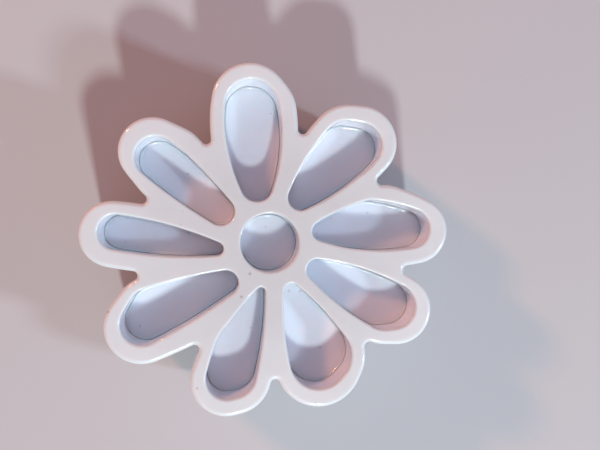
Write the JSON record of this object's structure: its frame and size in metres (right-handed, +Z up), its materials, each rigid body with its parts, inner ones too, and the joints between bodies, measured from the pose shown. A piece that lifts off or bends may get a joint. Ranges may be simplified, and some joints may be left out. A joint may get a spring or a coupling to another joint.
{
  "type": "plunger cutter",
  "caption": "Flower shaped plunger cutter with a deep pocket in each petal and in the middle, and a sprung push button behind that ejects the pressed paste.",
  "frame": {"origin": "centre of the push button's flat underside, on the plunger's axis", "axes": "+Z up out of the cutting face, +X across the flower to the right in the picture, +Y up the picture"},
  "size_m": [0.0708, 0.0675, 0.024],
  "materials": {
    "cutter_plastic": "glossy white moulded plastic",
    "cover_plastic": "satin white moulded plastic",
    "pad_plastic": "glossy cool white moulded plastic",
    "button_plastic": "glossy white moulded plastic",
    "screw_steel": "zinc plated",
    "washer_steel": "plain steel",
    "spring_steel": "drawn steel wire"
  },
  "bodies": {
    "cutter": {"cutter_body": "cutter_plastic", "back_cover": "cover_plastic", "cover_screws": "screw_steel", "return_spring": "spring_steel"},
    "plunger": {"ejector_plate": "pad_plastic", "centre_pad": "pad_plastic", "press_button": "button_plastic", "button_cap": "button_plastic", "plate_screws": "screw_steel", "post_screw": "screw_steel", "spring_washer": "washer_steel"}
  },
  "joints": [
    {"name": "plunger_slide", "type": "slide", "parent": "cutter", "child": "plunger", "axis": [0, 0, 1], "range_m": [0, 0.006], "stiffness_N_per_m": 450, "springref_m": -0.006, "deforming": ["return_spring"]}
  ]
}
